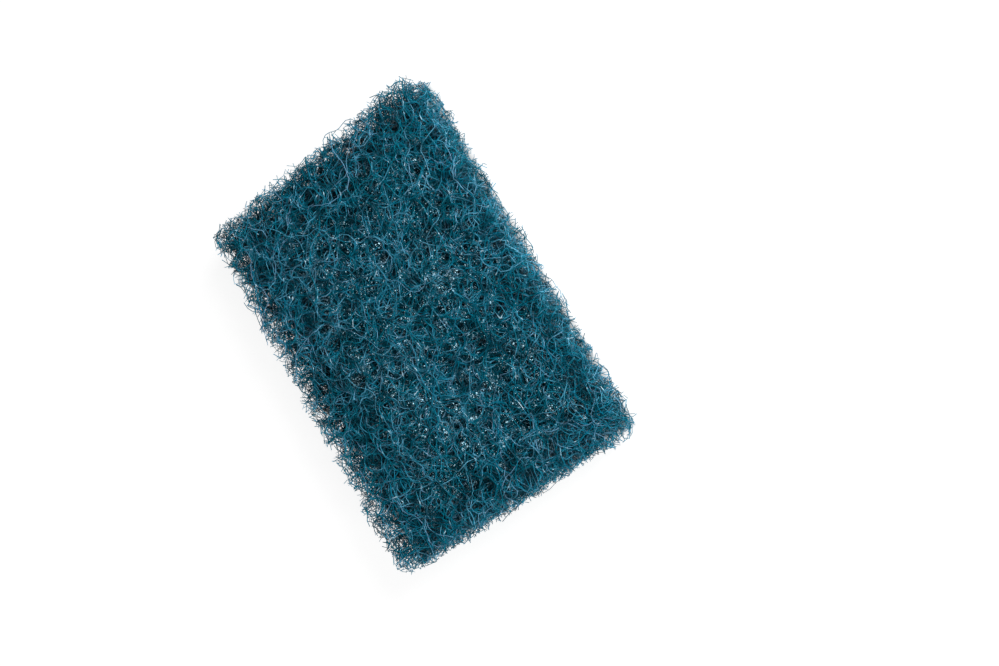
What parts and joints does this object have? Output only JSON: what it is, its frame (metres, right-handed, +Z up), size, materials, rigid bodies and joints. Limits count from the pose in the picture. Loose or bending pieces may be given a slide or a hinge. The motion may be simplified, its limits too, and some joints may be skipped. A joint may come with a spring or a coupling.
{
  "type": "nylon pot scrubber",
  "caption": "Rectangular scouring pad, an open springy web of crimped nylon strands bonded where they cross, for scrubbing pots and pans by hand.",
  "frame": {"origin": "middle of the face that the pad lies on", "axes": "+X along the length, +Y along the width, +Z up through the thickness"},
  "size_m": [0.127, 0.089, 0.015],
  "materials": {
    "nylon_web": "teal nylon fibre with a thin coat of resin, satin"
  },
  "bodies": {
    "root": {"scrubber_pad": "nylon_web"}
  },
  "joints": []
}
